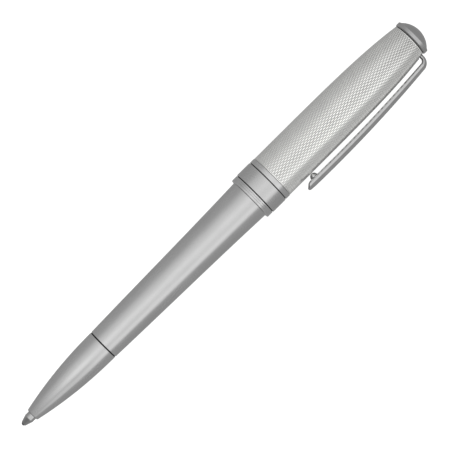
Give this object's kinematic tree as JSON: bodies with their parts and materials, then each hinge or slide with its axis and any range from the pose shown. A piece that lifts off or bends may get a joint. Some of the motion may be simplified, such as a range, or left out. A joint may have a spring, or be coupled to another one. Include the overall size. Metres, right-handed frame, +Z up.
{
  "type": "twist-action ballpoint pen",
  "caption": "Slim metal twist pen: satin tapered barrel, engraved upper half, side-sprung clip with ball foot, domed finial, metal refill.",
  "frame": {"origin": "middle of the bounding box's underside, on the surface that the pen lies on", "axes": "+X along the pen from the writing tip to the finial; +Z up; the clip lies on the -Y side, 39 degrees below the horizontal, and touches the surface"},
  "size_m": [0.137, 0.0138, 0.0126],
  "materials": {
    "carbide_ball": "mirror polished hard metal",
    "refill_point": "turned nickel silver",
    "refill_metal": "drawn tube",
    "ink": "paste",
    "black_plastic": "moulded",
    "spring_steel": "bright",
    "satin_metal": "satin chrome plate on brass",
    "black_rubber": "moulded",
    "brass": "turned",
    "white_plastic": "moulded acetal",
    "satin_trim": "satin chrome plate on brass",
    "engraved_silver": "bright plate over engine-turned grain pattern",
    "polished_metal": "polished plate",
    "finial_metal": "satin plate, a shade darker"
  },
  "bodies": {
    "root": {"lower_barrel": "satin_metal", "mechanism_sleeve": "brass", "twist_o_ring": "black_rubber", "thrust_washer": "white_plastic", "retaining_ring": "spring_steel", "refill_spring": "spring_steel"},
    "upper": {"cam_tube": "white_plastic", "band_carrier": "brass", "flange_ring": "satin_trim", "lower_groove_washer": "black_plastic", "centre_band": "satin_trim", "upper_groove_washer": "black_plastic", "upper_trim_ring": "satin_trim", "upper_barrel": "engraved_silver", "upper_liner": "brass", "top_plug": "brass", "spring_washer": "spring_steel", "clip_ring": "polished_metal", "finial_stud": "spring_steel", "stud_nut": "brass", "finial_cap": "finial_metal"},
    "clip": {"clip": "polished_metal", "clip_ball": "polished_metal"},
    "refill": {"refill_tip": "refill_point", "refill_tube": "refill_metal", "ink_column": "ink", "refill_end_plug": "black_plastic", "mechanism_plunger": "white_plastic", "drive_pin": "spring_steel"},
    "ball": {"writing_ball": "carbide_ball"},
    "nose_seal": {"nose_seal": "black_rubber"},
    "nose": {"nose_cone": "satin_metal"}
  },
  "joints": [
    {"name": "twist_turn", "type": "hinge", "parent": "root", "child": "upper", "pos_m": [0.01, 0.00059, 0.00629], "axis": [1, 0, 0], "range_deg": [0, 180]},
    {"name": "refill_slide", "type": "slide", "parent": "root", "child": "refill", "axis": [1, 0, 0], "range_m": [0, 0.005], "deforming": ["refill_spring"]},
    {"name": "clip_flex", "type": "hinge", "parent": "upper", "child": "clip", "pos_m": [0.06432, -0.00262, 0.00366], "axis": [0, -0.6344, 0.773], "range_deg": [0, 4], "stiffness_Nm_per_rad": 2.5},
    {"name": "ball_roll", "type": "hinge", "parent": "refill", "child": "ball", "pos_m": [-0.068, 0.00059, 0.00629], "axis": [0, 1, 0], "continuous": true},
    {"name": "nose_travel", "type": "slide", "parent": "root", "child": "nose_seal", "axis": [-1, 0, 0], "range_m": [0, 0.006]},
    {"name": "nose_turn", "type": "hinge", "parent": "nose_seal", "child": "nose", "pos_m": [-0.05, 0.00059, 0.00629], "axis": [-1, 0, 0], "range_deg": [0, 2880]}
  ],
  "couplings": [
    {"joint": "twist_turn", "follows": "refill_slide", "rad_per_m": 628.3},
    {"joint": "nose_turn", "follows": "nose_travel", "rad_per_m": 8377.5}
  ]
}
